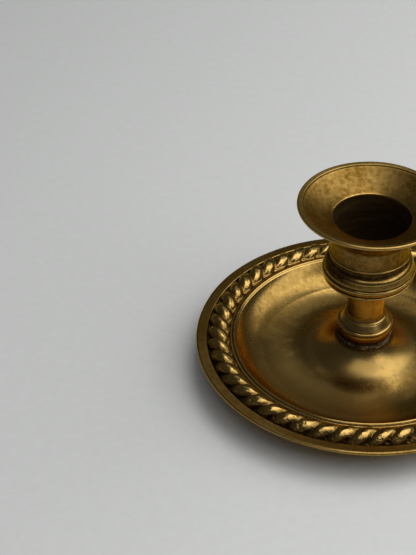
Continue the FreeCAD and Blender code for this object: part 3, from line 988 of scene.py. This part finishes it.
def cup_outline(sizes):
    """Closed outline of the cup, clockwise from its floor, and a mask that is 1 inside the bore."""
    inside = outline(
        (SCREW_HOLE_RADIUS, sizes.seat),
        (SCREW_HOLE_RADIUS, RECESS_FLOOR),
        (RECESS_RADIUS, RECESS_FLOOR),
        (RECESS_RADIUS, sizes.bore_floor),
        (sizes.bore_radius, sizes.bore_floor),
        (sizes.bore_radius, BORE_TOP),
        (sizes.mouth_radius, sizes.mouth_height),
        gap=0.0004)
    groove = (sizes.flare_top + 0.0002, sizes.lip_top - 0.00055)
    lip_edge = sizes.lip_radius - 0.00045
    lip_under = sizes.lip_top - sizes.lip_thickness
    outside = outline(
        (sizes.mouth_radius + 0.0001, sizes.mouth_height + 0.00005),
        (sizes.flare_mid_radius, sizes.flare_mid_height, sizes.flare_top, sizes.lip_top - 0.0005),
        groove,
        (sizes.flare_top + 0.00035, sizes.lip_top - 0.00015),
        (lip_edge, sizes.lip_top),
        (sizes.lip_radius, (sizes.lip_top + lip_under) / 2, lip_edge, lip_under),
        (lip_edge - 0.0002, lip_under),
        (*LIP_HOLLOW, sizes.cylinder_top_radius, sizes.cylinder_top),
        (sizes.cylinder_radius, sizes.ring_height + sizes.ring_half),
        (sizes.cylinder_radius + sizes.ring_half, sizes.ring_height,
         sizes.cylinder_radius, sizes.ring_height - sizes.ring_half),
        (sizes.cylinder_radius - 0.0002, sizes.ring_height - 0.0012,
         sizes.cylinder_radius, sizes.shoulder_top),
        (*SHOULDER_ROUND, *SHOULDER_STEP),
        *shoulder_ledges(SHOULDER_STEP, SHOULDER_END, 3),
        FLANGE_GROOVE,
        (*FLANGE_ROUND, *FLANGE_SIDE),
        FLANGE_LOW,
        (FLANGE_FOOT_RADIUS, sizes.seat),
        gap=0.00022)
    points = np.concatenate([inside, outside])
    in_bore = np.arange(len(points)) < len(inside) - 2
    return points, in_bore.astype(float)


def shoulder_ledges(top, end, count):
    """Points of the fine ledges down the shoulder: each falls four fifths of its drop and then runs out."""
    out = (end[0] - top[0]) / count
    down = (top[1] - end[1]) / count
    points = []
    for index in range(count):
        points.append((top[0] + index * out, top[1] - (index + 0.8) * down))
        points.append((top[0] + (index + 1) * out, top[1] - (index + 1) * down))
    return points


class CANDLESTICK_OT_fasteners(Operator):
    """Finish the two screws and the washer that hold the stack together"""
    bl_idname = "candlestick.finish_fasteners"
    bl_label = "Screws and Washer"

    def execute(self, context):
        hues = context.scene.candlestick.colours
        steel = dull_metal("dull_steel", hues.steel, hues.rust, 1.0, 0.35)
        screw = brass("aged_screw", 1.0, 3000.0, 6e-6, 0.1, tarnished=hues.dark)
        for node, material in (("cup_screw", screw), ("base_washer", steel), ("base_screw", steel)):
            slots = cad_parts[node].data.materials
            slots.clear()
            slots.append(material)
        return {"FINISHED"}


# ---- Stage -------------------------------------------------------

class CANDLESTICK_OT_stage(Operator):
    """Set the floor, the soft light and the camera"""
    bl_idname = "candlestick.build_stage"
    bl_label = "Stage"

    def execute(self, context):
        settings = context.scene.candlestick.stage
        lay_floor(settings)
        light_stage(settings)
        place_camera(settings)
        return {"FINISHED"}


def lay_floor(settings):
    """Square floor at the foot of the object, pale and matt with a faint grain."""
    half = settings.floor_size / 2
    mesh = bpy.data.meshes.new("floor")
    corners = [(-half, -half, 0), (half, -half, 0), (half, half, 0), (-half, half, 0)]
    mesh.from_pydata(corners, [], [(0, 1, 2, 3)])
    floor = bpy.data.objects.new("floor", mesh)
    bpy.context.scene.collection.objects.link(floor)
    material = bpy.data.materials.new("floor_paper")
    material.use_nodes = True
    tree = material.node_tree
    shader = tree.nodes["Principled BSDF"]
    shader.inputs["Roughness"].default_value = 0.6
    shader.inputs["Specular IOR Level"].default_value = 0.25
    grain = ramp(tree, noise(tree, 350.0, 4.0, 0.6), 0.3, 0.7, 0.97, 1.0)
    inputs = {0: tuple(settings.floor_colour), 3: grain}
    pale = add(tree, "ShaderNodeVectorMath", inputs, operation="SCALE").outputs[0]
    tree.links.new(pale, shader.inputs["Base Color"])
    mesh.materials.append(material)


# Name, west, east, south and north edge in metres, and radiance of each soft panel overhead.
PANELS = (
    ("key", -0.05, 0.50, -0.15, 0.35, 2.4),
    ("right", 0.50, 1.20, -0.70, 0.80, 2.07),
    ("front", -0.25, 0.50, -0.70, -0.15, 1.1),
    ("back", -0.25, 0.50, 0.35, 0.80, 0.30),
)


def light_stage(settings):
    """Soft panels overhead, brightest above and to the right of the object, and a faint even room light."""
    for name, west, east, south, north, radiance in PANELS:
        lamp = bpy.data.lights.new(name, "AREA")
        lamp.shape = "RECTANGLE"
        lamp.size = east - west
        lamp.size_y = north - south
        lamp.energy = math.pi * lamp.size * lamp.size_y * radiance * settings.brightness
        panel = bpy.data.objects.new(name, lamp)
        panel.location = ((west + east) / 2, (south + north) / 2, settings.panel_height)
        bpy.context.scene.collection.objects.link(panel)
    world = bpy.data.worlds.new("room")
    world.use_nodes = True
    sky = world.node_tree.nodes["Background"]
    sky.inputs["Color"].default_value = (*settings.sky, 1)
    sky.inputs["Strength"].default_value = settings.sky_strength
    bpy.context.scene.world = world
    bpy.context.scene.view_settings.view_transform = "Standard"


def place_camera(settings):
    """Camera in front of the object, looking down. Its axes come from the pan, tilt and roll."""
    pan, tilt, roll = settings.camera_pan, settings.camera_tilt, settings.camera_roll
    ahead = Vector((math.sin(pan) * math.cos(tilt), math.cos(pan) * math.cos(tilt), -math.sin(tilt)))
    right = Vector((math.cos(pan), -math.sin(pan), 0))
    up = right.cross(ahead)
    side = math.cos(roll) * right + math.sin(roll) * up
    above = math.cos(roll) * up - math.sin(roll) * right
    lens = bpy.data.cameras.new("camera")
    lens.lens = settings.lens
    lens.clip_start = 0.01
    camera = bpy.data.objects.new("camera", lens)
    turn = Matrix((side, above, -ahead)).transposed().to_4x4()
    camera.matrix_world = Matrix.Translation((0, -settings.camera_distance, settings.camera_height)) @ turn
    bpy.context.scene.collection.objects.link(camera)
    bpy.context.scene.camera = camera


# ---- Panel and registration --------------------------------------

STEPS = (
    CANDLESTICK_OT_drip_pan,
    CANDLESTICK_OT_foot_ring,
    CANDLESTICK_OT_rope_border,
    CANDLESTICK_OT_stem,
    CANDLESTICK_OT_solder,
    CANDLESTICK_OT_seat_disc,
    CANDLESTICK_OT_candle_cup,
    CANDLESTICK_OT_fasteners,
    CANDLESTICK_OT_stage,
)


class CANDLESTICK_PT_panel(Panel):
    """Lists the sizes, the colours and the building steps"""
    bl_label = "Brass Candlestick"
    bl_idname = "CANDLESTICK_PT_panel"
    bl_space_type = "VIEW_3D"
    bl_region_type = "UI"
    bl_category = "Candlestick"

    def draw(self, context):
        settings = context.scene.candlestick
        for name in ("pan", "rope", "stem", "cup", "colours", "stage"):
            box = self.layout.box()
            box.label(text=name.title())
            group = getattr(settings, name)
            for field in type(group).__annotations__:
                box.prop(group, field)
        for step in STEPS:
            self.layout.operator(step.bl_idname)


CLASSES = (PanSizes, RopeSizes, StemSizes, CupSizes, BrassColours, StageSettings, CandlestickSettings,
           *STEPS, CANDLESTICK_PT_panel)


def register():
    """Register the classes and hang the settings on the scene."""
    for cls in CLASSES:
        bpy.utils.register_class(cls)
    bpy.types.Scene.candlestick = PointerProperty(type=CandlestickSettings)


def unregister():
    """Undo register."""
    del bpy.types.Scene.candlestick
    for cls in reversed(CLASSES):
        bpy.utils.unregister_class(cls)


def main():
    """Build everything in order."""
    register()
    for step in STEPS:
        section, name = step.bl_idname.split(".")
        getattr(getattr(bpy.ops, section), name)()


if __name__ == "__main__":
    main()
